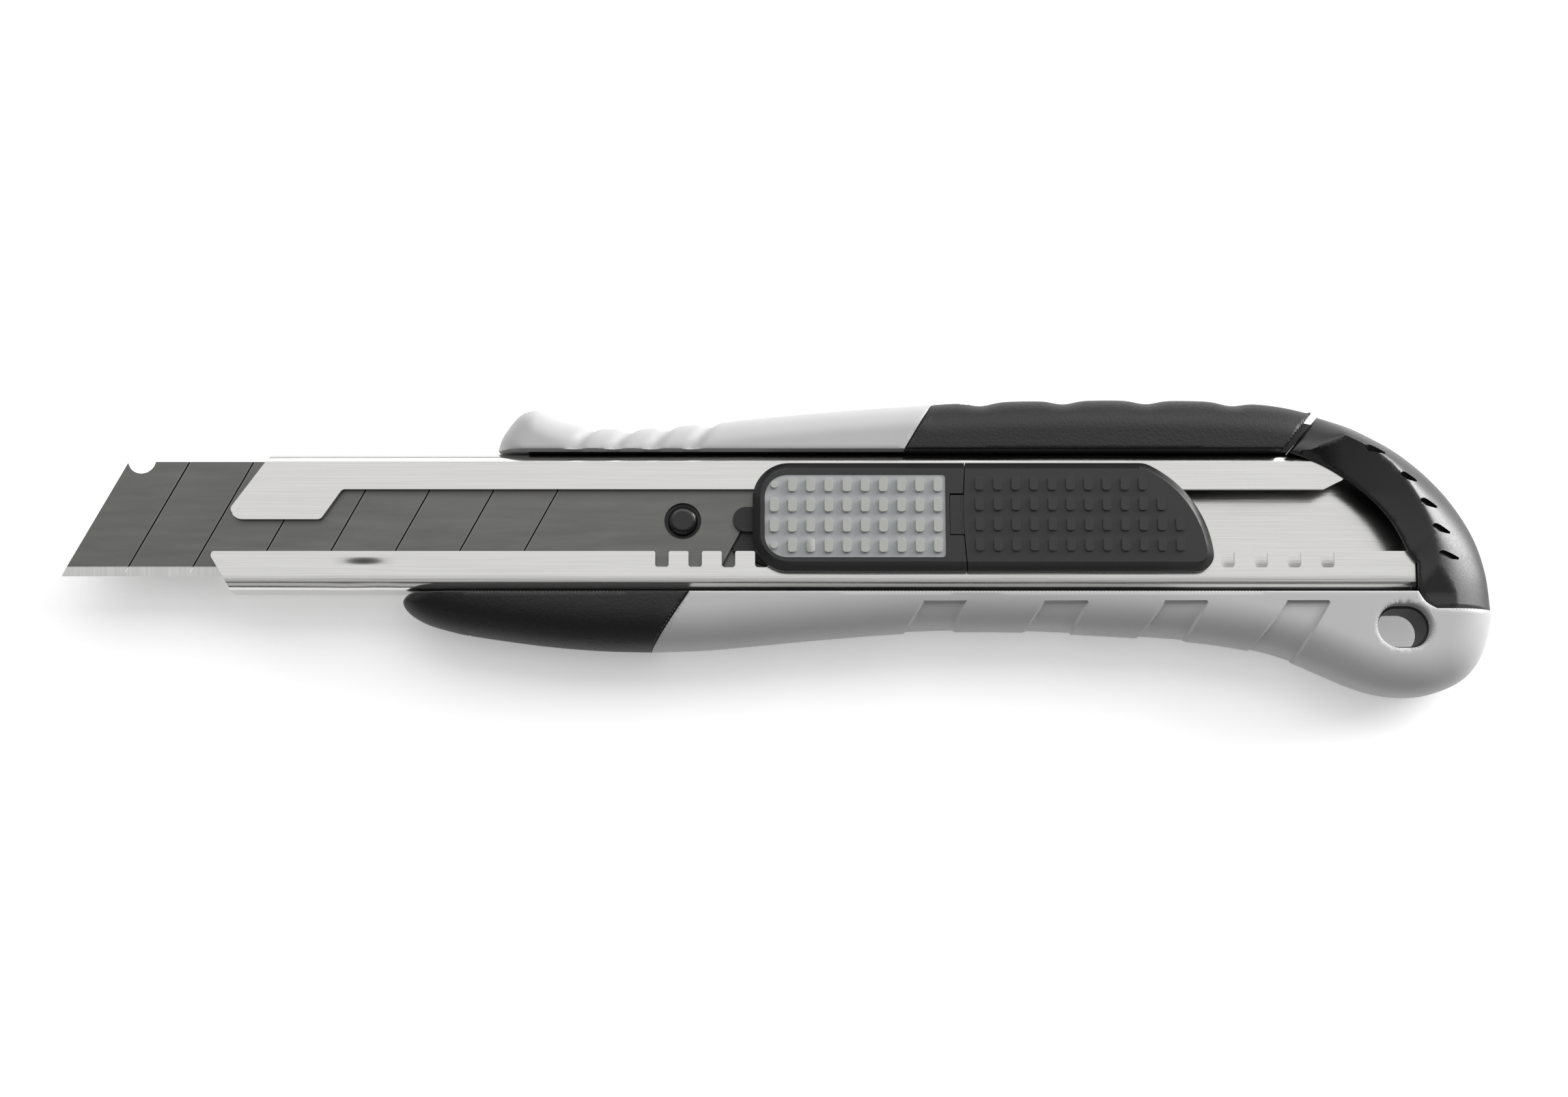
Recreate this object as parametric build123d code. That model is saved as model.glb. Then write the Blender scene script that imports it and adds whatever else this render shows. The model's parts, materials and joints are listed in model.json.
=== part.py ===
from build123d import *
from math import radians, sin, tan
import os

# Snap-off utility knife with a spare-blade magazine, lying on its back.
# +X runs from the blade tip to the end cap, +Y from the cutting edge to the
# spine of the blade, and +Z up out of the slider. The origin is on the table
# under the middle of the knife. All sizes are in millimetres.

# ---- Driving dimensions ------------------------------------------------------
HALF_LENGTH = 110.2  # from the origin to the blade tip, and to the end cap
HALF_HEIGHT = 23.4  # from the origin to the grip's crest, and to the tail lobe
FRONT_Z = 10.8  # front face of the handle, above the table
SKIN_BACK_Z = 0.5  # the grip skins stop this far above the table

# ---- Blade -------------------------------------------------------------------
BLADE_WIDTH = 18.0
BLADE_THICKNESS = 0.5
BLADE_LENGTH = 100.8  # along the cutting edge
EDGE_Y = -4.75
SPINE_Y = EDGE_Y + BLADE_WIDTH
BEVEL_WIDTH = 1.45
SNAP_ANGLE = 62.0  # between the score lines and the cutting edge
SEGMENT_PITCH = 9.93
SCORE_COUNT = 7
SCORE_WIDTH = 0.16
SCORE_DEPTH = 0.12
FIRST_SEGMENT = 9.5  # cutting edge of the first segment
NICK_RADIUS = 2.2
NICK_FROM_TIP = 11.6
PIN_FROM_TIP = 95.63
PIN_Y = 3.88
PIN_HOLE_RADIUS = 2.85
PIN_RADIUS = 2.3
PIN_SHANK_RADIUS = 1.2
BLADE_Z = 7.1  # underside of the blade in use
CARRIER_Z = 6.32  # underside of the carrier, just clear of the spare blades

# ---- Magazine: spare blades stacked between a leaf spring and the carrier -------
SPARE_COUNT = 3
CARRIER_CLEARANCE = 0.12  # from the top spare blade up to the carrier
STACK_GAP = 0.05
SPRING_LEAF = 0.3
SPRING_ENDS_X = (-58.0, 4.0)
SPRING_Y = (0.5, 8.0)

# ---- Blade channel: one folded steel sheet ------------------------------------
SHEET = 0.8
CHANNEL_BACK_Z = 2.6
CHANNEL_FRONT_Z = 8.6
CHANNEL_LOW_Y = -7.08
CHANNEL_HIGH_Y = 14.41
BEND_RADIUS = 1.3
CHANNEL_NOSE_X = -87.1
CHANNEL_TAIL_X = 98.1
LIP_GAP_LOW_Y = -1.0
LIP_GAP_HIGH_Y = 8.72
NOSE_GAP_HIGH_Y = 4.0  # the upper lip hangs lower over the blade at the mouth
NOTCH_PITCH = 5.118
NOTCH_COUNT = 21
FIRST_NOTCH_X = -17.7
NOTCH_WIDTH = 2.07
NOTCH_LOW_Y = -3.54
NOTCH_RADIUS = 0.5
TAB_RADIUS = 0.3  # corners of the tabs between the notches
LIP_CORNER_RADIUS = 0.9
FLOOR_Z = CHANNEL_BACK_Z + SHEET
LIP_Z = CHANNEL_FRONT_Z - SHEET
LIP_NOSE = (-84.3, 5.4)  # foremost point of the upper lip
LIP_STEP = ((-67.2, LIP_GAP_HIGH_Y), (-70.4, NOSE_GAP_HIGH_Y))  # where it drops to the mouth
LIP_EDGE_END_X = 84.4  # the upper lip tapers from here to its end
LIP_END_X = 88.2
LIP_TAIL_Y = 11.0

# ---- Rivets that hold the channel on the core ------------------------------------
RIVET_CENTRES = ((34.0, 3.7), (58.0, 3.7))
RIVET_SHANK_RADIUS = 1.0
RIVET_HEAD_RADIUS = 2.1
RIVET_HEAD_HEIGHT = 0.6
RIVET_FOOT_Z = 0.9

# ---- Slider ------------------------------------------------------------------
RETRACT_NOTCHES = 5  # from this pose, back until the tip is inside the channel
SLIDER_Z = 8.75  # underside of the slider, just clear of the lips
SLIDER_WALL_Z = 10.2
SLIDER_TOP_Z = 11.7
SLIDER_BEVEL = 1.2
SLIDER_LEFT_X = -3.75
SLIDER_SPLIT_X = 28.6
SLIDER_SPLIT_GAP = 0.16
SLIDER_LOW_Y = -4.4
SLIDER_HIGH_Y = 12.5
SLIDER_CORNER = 5.6
RELEASE_PLAY = 0.6  # lost motion between the slider and its carrier, each way
PLAY_CLEARANCE = 0.15
PAD_Z = 10.7
PAD_TOP_Z = 11.55
STUD_HEIGHT = 0.45
STUD_SIZE = (1.3, 2.1)
STUD_PITCH = (2.785, 3.15)
HOOK_X = (26.5, SLIDER_SPLIT_X + 1.0)
HOOK_Y = (1.0, 7.3)
PAD_X = (-1.9, 25.8)
PAD_Y = (-2.5, 10.4)
KEY_HEAD = ((5.0, 19.0), (0.8, 7.0), (9.35, 9.85))  # on the carrier, in the slider's chamber
KEY_NECK = ((6.0, 18.0), (2.0, 5.8), (LIP_Z - 0.1, 9.4))

# ---- Handle ------------------------------------------------------------------
UPPER_SEAM_Y = 14.62
LOWER_SEAM_Y = -7.52
CORE_Z = (1.4, 8.6)  # the core's beams inside the grips
WEB_TAIL_X = 96.0
TAIL_CUT = ((88.0, 20.0), (100.0, 6.0))  # slanted cut that keeps the tail inside the hood
TAIL_CUT_GAP = 0.3  # between the cut tail and the hood's wall
HOLE_CENTRE = (95.6, -12.95)
HOLE_SIZE = (7.5, 5.9)
CAP_INNER_ARC = ((79.2, 14.5), (90.4, 8.7), (96.9, -0.9))
CAP_HOOD_RADIUS = 4.5
CAP_BACK_RADIUS = 1.5
FIRST_RECESS_X = 22.4  # upper left corner of the first finger recess
RECESS_PITCH = 18.45
RECESS_COUNT = 4
RECESS_WIDTH = 6.8
RECESS_HIGH_Y = -9.0
RECESS_SLOPE = 0.6  # how far they lean, across over down
RECESS_DEPTH = 0.45
BACK_GROOVE_DEPTH = 0.5
BACK_GROOVE_WIDTH = 1.6
BACK_GROOVE_LENGTH = 17.0
BACK_GROOVE_PITCH = 5.0
BACK_GROOVE_STARTS_X = (-34.0, 50.0)
BACK_GROOVES_IN_GROUP = 6
OVERRUN = 5.0  # how far a cutting tool stands past what it cuts


# ---- Helpers -----------------------------------------------------------------
def prism(edges, z_low, z_high):
    """Upright solid on a closed loop of edges."""
    face = make_face(edges)
    return extrude(Pos(0, 0, z_low) * face, amount=z_high - z_low, dir=(0, 0, 1))


def plate(points, z_low, z_high):
    """Upright solid on a straight-sided outline."""
    return prism(Polyline(*points, close=True).edges(), z_low, z_high)


def block(x_range, y_range, z_range):
    """Box between pairs of limits."""
    size = [high - low for low, high in (x_range, y_range, z_range)]
    middle = [(high + low) / 2 for low, high in (x_range, y_range, z_range)]
    return Pos(*middle) * Box(*size)


def rounded_block(x_range, y_range, z_range, radius):
    """Box with rounded upright edges."""
    shape = block(x_range, y_range, z_range)
    return fillet(shape.edges().filter_by(Axis.Z), radius)


def stadium(centre, size, z_low, z_high):
    """Upright solid with an oval outline, longer along X."""
    outline = Pos(*centre) * SlotOverall(*size)
    return extrude(Pos(0, 0, z_low) * outline, amount=z_high - z_low, dir=(0, 0, 1))


def rim(shape, z, y_test):
    """Edges of an outline that lie at height z and whose middle passes y_test."""
    level = [edge for edge in shape.edges() if abs(edge.center().Z - z) < 0.01]
    return [edge for edge in level if y_test(edge.center().Y)]


def beyond_tail_cut(gap):
    """Everything behind the slanted tail cut, moved towards the end cap by gap."""
    (high_x, high_y), (low_x, low_y) = TAIL_CUT
    far_x = low_x + OVERRUN
    corners = [(high_x + gap, high_y), (low_x + gap, low_y), (far_x, low_y), (far_x, high_y)]
    return plate(corners, -2 * OVERRUN, FRONT_Z + OVERRUN)


def only_solid(shape):
    """The largest solid of a cut shape."""
    return max(shape.solids(), key=lambda solid: solid.volume)


# ---- Blades ------------------------------------------------------------------
def blade_at(tip_x, z_low):
    """Scored snap-off blade with a bevelled edge, a tip nick and a pin hole."""
    lean = 1 / tan(radians(SNAP_ANGLE))
    tail_x = tip_x + BLADE_LENGTH
    corners = [
        (tip_x, EDGE_Y),
        (tail_x, EDGE_Y),
        (tail_x + BLADE_WIDTH * lean, SPINE_Y),
        (tip_x + BLADE_WIDTH * lean, SPINE_Y),
    ]
    z_high = z_low + BLADE_THICKNESS
    middle_z = (z_low + z_high) / 2
    body = plate(corners, z_low, z_high)
    nick = Pos(tip_x + NICK_FROM_TIP, SPINE_Y + 0.35, middle_z) * Cylinder(NICK_RADIUS, OVERRUN)
    pin_hole = Pos(tip_x + PIN_FROM_TIP, PIN_Y, middle_z) * Cylinder(PIN_HOLE_RADIUS, OVERRUN)
    body = body - nick - pin_hole
    for face_z, side in ((z_high, 1), (z_low, -1)):
        body = body - edge_grind(tip_x, face_z, side)
        for number in range(SCORE_COUNT):
            x = tip_x + FIRST_SEGMENT + number * SEGMENT_PITCH
            body = body - score_groove(x, face_z)
    return only_solid(body)


def edge_grind(tip_x, face_z, side):
    """Wedge that leaves one flank of the sharpened edge."""
    land = 0.03  # what is left of the half thickness at the very edge
    depth = BLADE_THICKNESS / 2 - land
    wedge = Polyline(
        (EDGE_Y - OVERRUN, face_z + side * OVERRUN),
        (EDGE_Y - OVERRUN, face_z - side * depth),
        (EDGE_Y, face_z - side * depth),
        (EDGE_Y + BEVEL_WIDTH, face_z),
        (EDGE_Y + BEVEL_WIDTH, face_z + side * OVERRUN),
        close=True,
    )
    profile = Plane.YZ.offset(tip_x - OVERRUN) * make_face(wedge.edges())
    return extrude(profile, amount=BLADE_LENGTH + 2 * OVERRUN, dir=(1, 0, 0))


def score_groove(edge_x, face_z):
    """Groove along one snap line, from the cutting edge to the spine."""
    length = BLADE_WIDTH / sin(radians(SNAP_ANGLE))
    x = edge_x + BLADE_WIDTH / tan(radians(SNAP_ANGLE)) / 2
    y = (EDGE_Y + SPINE_Y) / 2
    tool = Box(length * 1.5, SCORE_WIDTH, SCORE_DEPTH * 2)
    return Pos(x, y, face_z) * Rot(0, 0, SNAP_ANGLE) * tool


def spare_blade_z(number):
    """Underside of a spare blade, counted from the top of the stack."""
    top_z = CARRIER_Z - CARRIER_CLEARANCE - BLADE_THICKNESS
    return top_z - number * (BLADE_THICKNESS + STACK_GAP)


def make_blades():
    """The blade in use, and the spares that wait under it at the pick-up place."""
    pick_up_x = -HALF_LENGTH + RETRACT_NOTCHES * NOTCH_PITCH
    blades = {"blade": blade_at(-HALF_LENGTH, BLADE_Z)}
    for number in range(SPARE_COUNT):
        blades[f"spare_blade_{number + 1}"] = blade_at(pick_up_x, spare_blade_z(number))
    return blades


def make_magazine_spring():
    """Bowed leaf spring on the channel floor, which lifts the spare blades."""
    start_x, end_x = SPRING_ENDS_X
    foot_z = FLOOR_Z + 0.02
    crown_z = spare_blade_z(SPARE_COUNT - 1) - STACK_GAP
    middle_x = (start_x + end_x) / 2
    lower = ThreePointArc((start_x, foot_z), (middle_x, crown_z - SPRING_LEAF), (end_x, foot_z))
    upper = ThreePointArc(
        (start_x, foot_z + SPRING_LEAF), (middle_x, crown_z), (end_x, foot_z + SPRING_LEAF)
    )
    profile = make_face([lower, upper, Line(lower @ 0, upper @ 0), Line(lower @ 1, upper @ 1)])
    low_y, high_y = SPRING_Y
    return extrude(Plane.XZ.offset(-high_y) * profile, amount=high_y - low_y, dir=(0, -1, 0))


def rivets():
    """Domed rivets through the channel floor into the core, as separate solids."""
    shapes = []
    for x, y in RIVET_CENTRES:
        shank_height = FLOOR_Z - RIVET_FOOT_Z
        shank = Pos(x, y, RIVET_FOOT_Z + shank_height / 2) * Cylinder(
            RIVET_SHANK_RADIUS, shank_height
        )
        head = Pos(x, y, FLOOR_Z + RIVET_HEAD_HEIGHT / 2) * Cylinder(
            RIVET_HEAD_RADIUS, RIVET_HEAD_HEIGHT
        )
        head = fillet(head.edges().sort_by(Axis.Z)[-1], RIVET_HEAD_HEIGHT * 0.8)
        shapes.append(only_solid(shank + head))
    return shapes


# ---- Blade channel -----------------------------------------------------------
def channel_section():
    """C-shaped section of the folded sheet, with the gap still closed."""
    width = CHANNEL_HIGH_Y - CHANNEL_LOW_Y
    height = CHANNEL_FRONT_Z - CHANNEL_BACK_Z
    centre = Pos((CHANNEL_HIGH_Y + CHANNEL_LOW_Y) / 2, (CHANNEL_FRONT_Z + CHANNEL_BACK_Z) / 2)
    outside = centre * RectangleRounded(width, height, BEND_RADIUS)
    inside = centre * RectangleRounded(
        width - 2 * SHEET, height - 2 * SHEET, BEND_RADIUS - SHEET
    )
    return outside - inside


def mouth_cutter():
    """Everything in front of the slanted mouth of the channel."""
    far_x = CHANNEL_NOSE_X - 4 * OVERRUN
    low_y = CHANNEL_LOW_Y - OVERRUN
    high_y = CHANNEL_HIGH_Y + OVERRUN
    edges = [
        Line((far_x, low_y), (-84.0, low_y)),
        Line((-84.0, low_y), (-84.15, -6.6)),
        Line((-84.15, -6.6), (-87.0, -2.0)),
        ThreePointArc((-87.0, -2.0), (-86.9, -1.1), (-86.0, -0.9)),
        Line((-86.0, -0.9), (-84.0, 5.0)),
        ThreePointArc((-84.0, 5.0), (-84.3, 5.6), (-84.1, 6.2)),
        Line((-84.1, 6.2), (-78.6, 13.9)),
        ThreePointArc((-78.6, 13.9), (-78.0, 14.3), (-77.3, 14.45)),
        Line((-77.3, 14.45), (-77.3, high_y)),
        Line((-77.3, high_y), (far_x, high_y)),
        Line((far_x, high_y), (far_x, low_y)),
    ]
    return prism(edges, 0, CHANNEL_FRONT_Z + OVERRUN)


def lip_gap_outline():
    """Plan of the gap between the two lips, with straight sides at the notches."""
    far_x = CHANNEL_NOSE_X - OVERRUN
    tail_x = CHANNEL_TAIL_X + OVERRUN
    high_y = CHANNEL_HIGH_Y + OVERRUN
    nose_x, nose_y = LIP_NOSE
    nose_bend = (nose_x + 0.6, nose_y - 0.95)
    nose_foot = (nose_x + 1.9, NOSE_GAP_HIGH_Y)
    corners = [
        (far_x, nose_y),
        (far_x, LIP_GAP_LOW_Y),
        (tail_x, LIP_GAP_LOW_Y),
        (tail_x, high_y),
        (LIP_END_X, high_y),
        (LIP_END_X, LIP_TAIL_Y),
        (LIP_END_X - 0.9, LIP_TAIL_Y - 0.9),
        (LIP_EDGE_END_X, LIP_GAP_HIGH_Y),
        *LIP_STEP,
        nose_foot,
    ]
    edges = Polyline(*corners).edges()
    edges.append(ThreePointArc(nose_foot, nose_bend, LIP_NOSE))
    edges.append(Line(LIP_NOSE, corners[0]))
    return make_face(edges)


def corners_at(outline, y, x_range):
    """Corners of a flat outline at height y, between two x limits."""
    low_x, high_x = x_range
    level = [corner for corner in outline.vertices() if abs(corner.Y - y) < 0.01]
    return [corner for corner in level if low_x < corner.X < high_x]


def lip_gap_cutter():
    """The gap between the two lips, with the lock notches along its lower side."""
    outline = lip_gap_outline()
    notch_depth = LIP_GAP_LOW_Y - NOTCH_LOW_Y
    for number in range(NOTCH_COUNT):
        x = FIRST_NOTCH_X + number * NOTCH_PITCH
        outline = outline + Pos(x, LIP_GAP_LOW_Y) * Rectangle(NOTCH_WIDTH, 2 * notch_depth)
    notched = (FIRST_NOTCH_X - NOTCH_WIDTH, LIP_END_X)
    outline = fillet(corners_at(outline, NOTCH_LOW_Y, notched), NOTCH_RADIUS)
    outline = fillet(corners_at(outline, LIP_GAP_LOW_Y, notched), TAB_RADIUS)
    for spot in LIP_STEP:
        outline = fillet(outline.vertices().sort_by_distance((*spot, 0))[0], LIP_CORNER_RADIUS)
    low_z = LIP_Z - 0.1
    height = CHANNEL_FRONT_Z + OVERRUN - low_z
    cutter = extrude(Pos(0, 0, low_z) * outline, amount=height, dir=(0, 0, 1))
    tail_x = CHANNEL_TAIL_X + OVERRUN
    high_y = CHANNEL_HIGH_Y + OVERRUN
    tail_wall = [(LIP_END_X, LIP_TAIL_Y), (tail_x, 7.5), (tail_x, high_y), (LIP_END_X, high_y)]
    return cutter + plate(tail_wall, FLOOR_Z, CHANNEL_FRONT_Z + OVERRUN)


def make_channel():
    """Folded steel channel that guides the blades and carries the lock notches."""
    length = CHANNEL_TAIL_X - CHANNEL_NOSE_X
    body = extrude(Plane.YZ.offset(CHANNEL_NOSE_X) * channel_section(), amount=length)
    body = body - mouth_cutter() - lip_gap_cutter()
    return only_solid(body - beyond_tail_cut(0) - rivets())


# ---- Slider and carrier ------------------------------------------------------
def slider_outline():
    """Plan of both slider parts together: round at the left, a long curve at the tail."""
    left, low, high = SLIDER_LEFT_X, SLIDER_LOW_Y, SLIDER_HIGH_Y
    tail_top, tail_middle, tail_tip = (56.6, high), (63.4, 7.2), (67.0, low)
    shape = make_face([
        Line((left, low), tail_tip),
        ThreePointArc(tail_tip, tail_middle, tail_top),
        Line(tail_top, (left, high)),
        Line((left, high), (left, low)),
    ])
    rounded_corners = (
        ((left, low), SLIDER_CORNER),
        ((left, high), SLIDER_CORNER),
        (tail_tip, 2.6),
        (tail_top, 4.0),
    )
    for spot, radius in rounded_corners:
        corner = shape.vertices().sort_by_distance((*spot, 0))[0]
        shape = fillet(corner, radius)
    return shape


def slider_shell():
    """Both slider parts as one shell: an upright wall, a bevel and a flat top."""
    height = SLIDER_TOP_Z - SLIDER_Z
    wall = extrude(Pos(0, 0, SLIDER_Z) * slider_outline(), amount=height, dir=(0, 0, 1))
    rim_edges = [edge for edge in wall.edges() if abs(edge.center().Z - SLIDER_TOP_Z) < 0.01]
    rise = SLIDER_TOP_Z - SLIDER_WALL_Z
    return chamfer(rim_edges, rise, SLIDER_BEVEL)


def beyond_split(gap, far_x):
    """Everything between the curved split line, moved by gap, and far_x."""
    x = SLIDER_SPLIT_X + gap
    low, high = SLIDER_LOW_Y - OVERRUN, SLIDER_HIGH_Y + OVERRUN
    middle = (low + high) / 2
    edges = [
        ThreePointArc((x + 1.3, low), (x - 0.15, middle), (x + 0.9, high)),
        Line((x + 0.9, high), (far_x, high)),
        Line((far_x, high), (far_x, low)),
        Line((far_x, low), (x + 1.3, low)),
    ]
    return prism(edges, 0, SLIDER_TOP_Z + OVERRUN)


def studs(first_x, first_y, counts, z_low, dots=()):
    """Rows of small raised studs, one count for each row; dots name (row, column) of round ones."""
    shapes = []
    for row, count in enumerate(counts):
        for column in range(count):
            x = first_x + column * STUD_PITCH[0]
            y = first_y - row * STUD_PITCH[1]
            outline = Circle(0.52) if (row, column) in dots else RectangleRounded(*STUD_SIZE, 0.45)
            placed = Pos(x, y, z_low) * outline
            shapes.append(extrude(placed, amount=STUD_HEIGHT, dir=(0, 0, 1)))
    return shapes


def pad_outline():
    """Inset pad: round at the left, nearly square at the right."""
    shape = Pos(sum(PAD_X) / 2, sum(PAD_Y) / 2) * Rectangle(PAD_X[1] - PAD_X[0], PAD_Y[1] - PAD_Y[0])
    left = [vertex for vertex in shape.vertices() if vertex.X < 0]
    shape = fillet(left, 3.5)
    right = [vertex for vertex in shape.vertices() if vertex.X > PAD_X[1] - 0.01]
    return fillet(right, 0.5)


def widened(limits, x_extra, y_extra, z_extra):
    """Box limits grown on every side, for a pocket around a key."""
    extras = (x_extra, y_extra, z_extra)
    return [(low - extra, high + extra) for (low, high), extra in zip(limits, extras)]


def make_slider_body():
    """Front slider shell with the pad's pocket, the hook slot and the key's pocket."""
    shell = slider_shell() - beyond_split(0, 100.0)
    pocket = extrude(Pos(0, 0, PAD_Z) * pad_outline(), amount=OVERRUN, dir=(0, 0, 1))
    hook_low_y, hook_high_y = HOOK_Y
    hook_slot = block((HOOK_X[0] - 0.1, HOOK_X[1]), (hook_low_y - 0.1, hook_high_y + 0.1), (9.6, 15.0))
    play = RELEASE_PLAY + PLAY_CLEARANCE
    chamber = block(*widened(KEY_HEAD, play, PLAY_CLEARANCE, PLAY_CLEARANCE))
    throat = block(*widened(KEY_NECK, play, PLAY_CLEARANCE, 0))
    return only_solid(shell - pocket - hook_slot - chamber - throat)


def make_slider_pad():
    """Soft grey pad with four rows of studs, set in the front slider."""
    pad = extrude(Pos(0, 0, PAD_Z) * pad_outline(), amount=PAD_TOP_Z - PAD_Z, dir=(0, 0, 1))
    rows = studs(-0.45, 8.75, (10, 10, 10, 10), PAD_TOP_Z, dots=((0, 0), (3, 0)))
    return only_solid(pad + rows)


def make_slider_rear():
    """Rear slider shell with its studs and the hook that joins the front slider."""
    shell = slider_shell() - beyond_split(SLIDER_SPLIT_GAP, -20.0)
    hook = block((HOOK_X[0], HOOK_X[1] + 0.6), (HOOK_Y[0] + 0.1, HOOK_Y[1] - 0.1), (9.7, 11.5))
    rows = studs(31.0, 8.95, (10, 11, 12, 12), SLIDER_TOP_Z)
    return only_solid(shell + hook + rows)


def make_rear_guide():
    """Foot under the lips that keeps the rear slider on the channel."""
    neck = block((40.0, 56.0), (LIP_GAP_LOW_Y + 0.3, LIP_GAP_HIGH_Y - 0.3), (LIP_Z - 0.2, SLIDER_Z))
    foot = rounded_block((38.0, 58.0), (-5.9, 13.2), (6.7, LIP_Z - 0.12), 1.5)
    return neck + foot


def make_carrier():
    """Plate under the lips that carries the blade, with the key for the slider."""
    under_blade = BLADE_Z - 0.05
    plate_top = LIP_Z - 0.12
    lean = 1 / tan(radians(SNAP_ANGLE))
    tail_x = -HALF_LENGTH + BLADE_LENGTH + 0.4
    behind_blade = [
        (tail_x + 4.0 * lean, -0.75),
        (4.0, -5.9),
        (22.0, -5.9),
        (22.0, 13.2),
        (tail_x + BLADE_WIDTH * lean, 13.2),
    ]
    body = plate(behind_blade, CARRIER_Z, plate_top)
    body = body + rounded_block((-18.5, 10.0), (-0.3, 8.1), (CARRIER_Z, under_blade), 3.0)
    tongue_x = (-6.8, KEY_NECK[0][0] + 1.0)
    tongue_middle = (sum(tongue_x) / 2, 4.0)
    tongue_size = (tongue_x[1] - tongue_x[0], 3.9)
    body = body + stadium(tongue_middle, tongue_size, BLADE_Z + BLADE_THICKNESS + 0.04, 8.5)
    body = body + block((1.5, 24.0), (-0.4, 8.1), (plate_top - 0.3, CHANNEL_FRONT_Z - 0.1))
    body = body + block(*KEY_NECK) + block(*KEY_HEAD)
    pin_x = -HALF_LENGTH + PIN_FROM_TIP
    socket = Pos(pin_x, PIN_Y, CARRIER_Z) * Cylinder(PIN_SHANK_RADIUS, OVERRUN)
    return only_solid(body - socket - lock_spring_solid())


def make_blade_pin():
    """Dome-headed pin, pressed into the carrier, that drags the blade by its hole."""
    low, neck, crown = CARRIER_Z, BLADE_Z - 0.05, 8.3
    shank = Cylinder(PIN_SHANK_RADIUS, neck - low, align=(Align.CENTER, Align.CENTER, Align.MIN))
    head = Cylinder(PIN_RADIUS, crown - neck, align=(Align.CENTER, Align.CENTER, Align.MIN))
    head = fillet(head.edges().sort_by(Axis.Z)[-1], 0.95)
    pin_x = -HALF_LENGTH + PIN_FROM_TIP
    return only_solid(Pos(pin_x, PIN_Y, low) * shank + Pos(pin_x, PIN_Y, neck) * head)


def lock_spring_solid():
    """Leaf with a bent-up tooth that stands in the lock notch nearest the hook."""
    leaf = 0.35
    leaf_z = 7.2
    pawl_x = FIRST_NOTCH_X + 9 * NOTCH_PITCH
    half = 0.85
    strip = block((18.0, pawl_x + half), (-3.3, 1.2), (leaf_z, leaf_z + leaf))
    tooth = block((pawl_x - half, pawl_x + half), (-3.3, -3.3 + leaf * 2), (leaf_z, 8.5))
    return strip + tooth


# ---- Handle ------------------------------------------------------------------
def upper_envelope():
    """Thumb rest and top grip as one rounded bar above the channel."""
    crest = [
        Spline((-43.4, 15.4), (-40.6, 20.3), (-37.6, 21.7), (-34.2, 20.3), (-28.6, 18.9),
               (-20.0, 18.75), (-8.5, 19.7), (11.9, 21.8), (24.3, 22.7)),
        Spline((24.3, 22.7), (52.0, HALF_HEIGHT), (70.0, 23.2), (83.2, 21.0),
               tangents=[(1, 0.05), (1, -0.3)]),
    ]
    base = [
        Line((83.2, 21.0), (78.0, UPPER_SEAM_Y)),
        Line((78.0, UPPER_SEAM_Y), (-43.2, UPPER_SEAM_Y)),
        Line((-43.2, UPPER_SEAM_Y), (-43.4, 15.4)),
    ]
    body = prism(crest + base, SKIN_BACK_Z, FRONT_Z)
    for z in (SKIN_BACK_Z, FRONT_Z):
        body = fillet(rim(body, z, lambda y: y > 18.0), 2.2)
    for x in (-28.6, -22.8, -16.8, -10.6):
        body = body - Pos(x, 20.4, 0) * Cylinder(2.3, 4 * FRONT_Z)
    for x in (31.7, 44.6, 57.4, 70.6):
        body = body - Pos(x, 29.8, 0) * Cylinder(7.1, 4 * FRONT_Z)
    return body


def lower_envelope():
    """Finger guard and lower grip as one rounded bar below the channel."""
    underside = Spline(
        (-57.6, -9.2), (-53.8, -12.0), (-46.7, -13.8), (-36.0, -15.3), (-19.5, -16.25),
        (-4.4, -15.4), (18.0, -13.4), (37.0, -13.1), (55.0, -14.0), (68.0, -15.2),
        (79.0, -17.7), (87.5, -21.6), (95.7, -HALF_HEIGHT), (103.6, -21.7), (108.0, -17.4),
        (110.1, -10.2),
    )
    top = [
        Line((110.1, -10.2), (100.6, -10.2)),
        ThreePointArc((100.6, -10.2), (99.0, -9.2), (97.9, LOWER_SEAM_Y)),
        Line((97.9, LOWER_SEAM_Y), (-57.0, LOWER_SEAM_Y)),
        ThreePointArc((-57.0, LOWER_SEAM_Y), (-57.7, -8.2), (-57.6, -9.2)),
    ]
    body = prism([underside] + top, SKIN_BACK_Z, FRONT_Z)
    for z in (SKIN_BACK_Z, FRONT_Z):
        body = fillet(rim(body, z, lambda y: y < -12.5), 2.4)
    return body


def core_beams():
    """Stiff beams inside the grips, one each side of the channel."""
    upper = [
        (-38.5, UPPER_SEAM_Y - 0.1), (-37.5, 19.0), (-28.0, 16.3), (-8.0, 17.2), (24.0, 19.9),
        (52.0, 20.6), (79.0, 19.7), (82.9, 18.9), (79.06, UPPER_SEAM_Y - 0.1),
    ]
    lower = [
        (-51.0, CHANNEL_LOW_Y - 0.1), (-51.0, -10.2), (-37.0, -12.9), (-19.5, -13.8),
        (-4.0, -13.1), (18.0, -11.2), (37.0, -10.9), (55.0, -11.7), (72.0, -13.6),
        (84.0, -17.4), (95.7, -21.0), (104.0, -17.9), (107.3, -10.6), (100.4, -10.4),
        (97.6, CHANNEL_LOW_Y - 0.5), (97.6, CHANNEL_LOW_Y - 0.1),
    ]
    return plate(upper, *CORE_Z) + plate(lower, *CORE_Z)


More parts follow.
